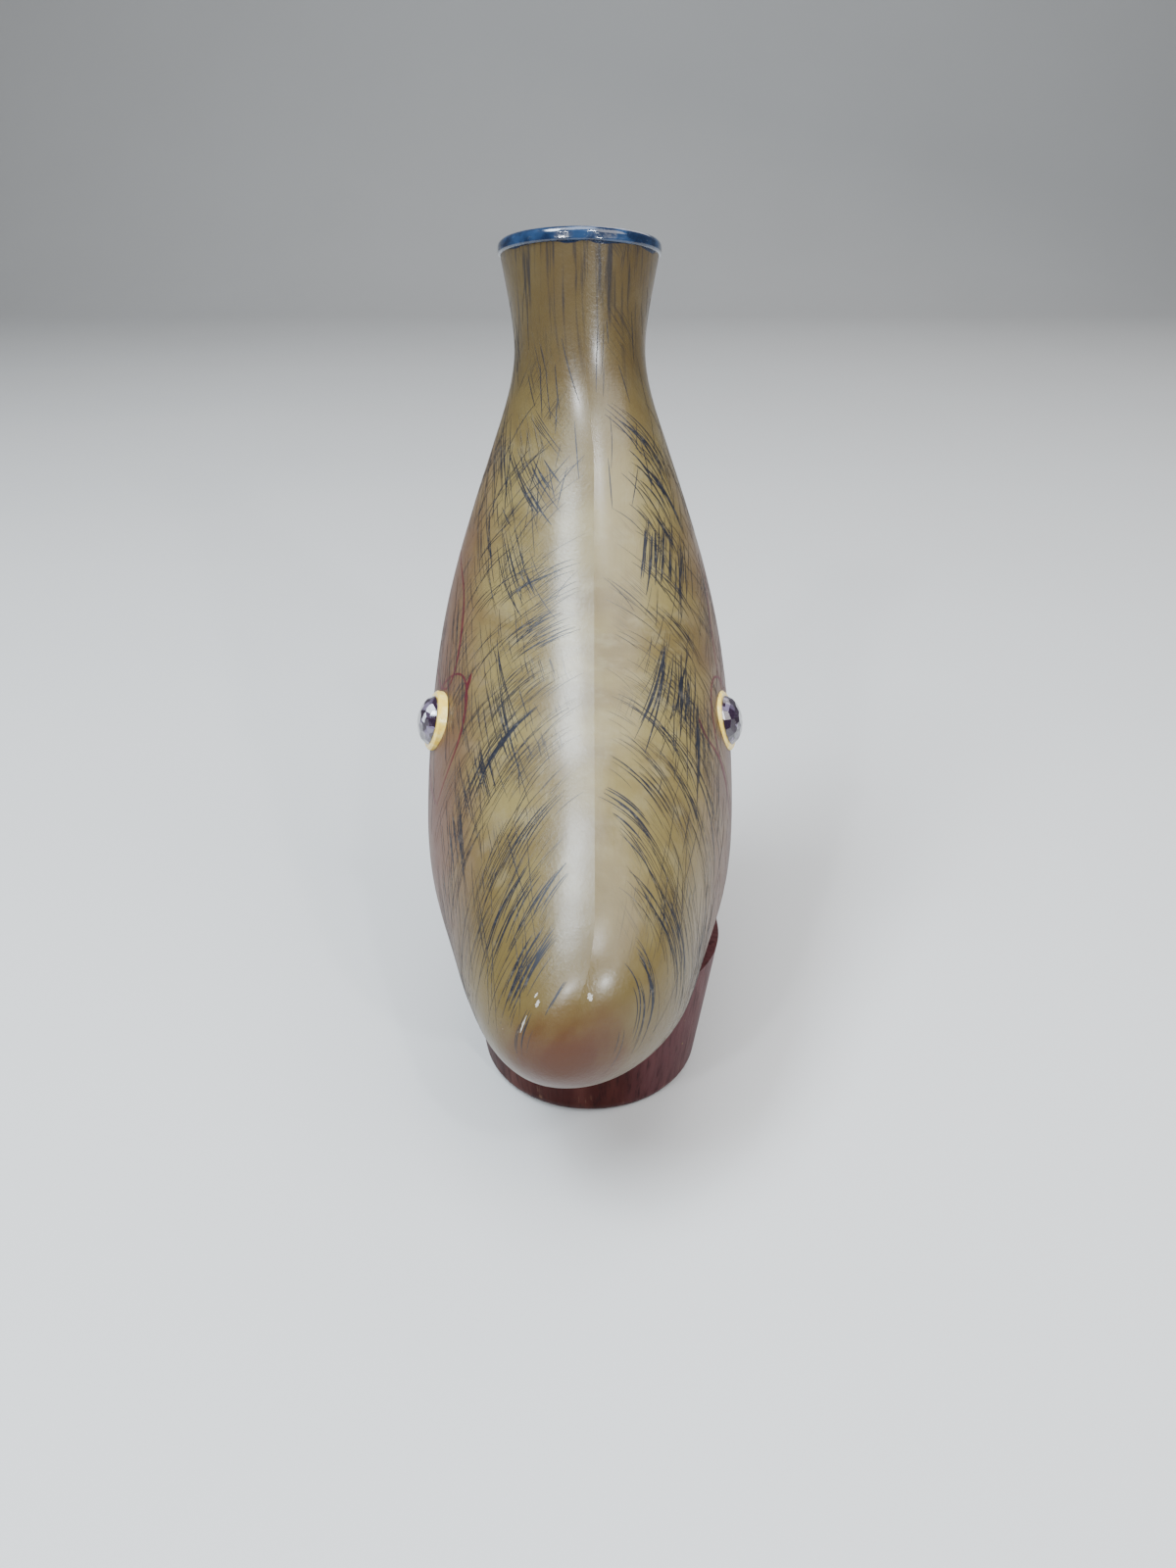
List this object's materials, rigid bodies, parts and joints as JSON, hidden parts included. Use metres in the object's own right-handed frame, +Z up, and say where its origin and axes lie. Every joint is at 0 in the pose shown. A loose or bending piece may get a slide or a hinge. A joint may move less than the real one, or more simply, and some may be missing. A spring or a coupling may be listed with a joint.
{
  "type": "guiro",
  "caption": "Hollow wooden fish-shaped guiro with a notched rasp along its belly side, an open flared tail, jewelled eyes and a low foot to stand on",
  "frame": {"origin": "middle of the foot's underside, where the guiro stands", "axes": "+Z up, +X to the fish's side that shows on the right when its nose faces the viewer, -Y towards the nose, +Y towards the notched side"},
  "size_m": [0.0812, 0.1451, 0.1918],
  "materials": {
    "painted_body": "satin olive-tan paint with blue-black dry-brush strokes and dark red lines round the eyes",
    "lip_lacquer": "glossy blue-black lacquer",
    "foot_wood": "dark red-brown stain with upright grain",
    "yellow_ring": "glossy yellow paint",
    "crystal": "clear faceted rhinestone"
  },
  "bodies": {
    "root": {"body_left": "painted_body", "body_right": "painted_body", "tail_lip": "lip_lacquer", "foot": "foot_wood", "eye_ring_left": "yellow_ring", "eye_ring_right": "yellow_ring", "eye_crystal_left": "crystal", "eye_crystal_right": "crystal"}
  },
  "joints": []
}
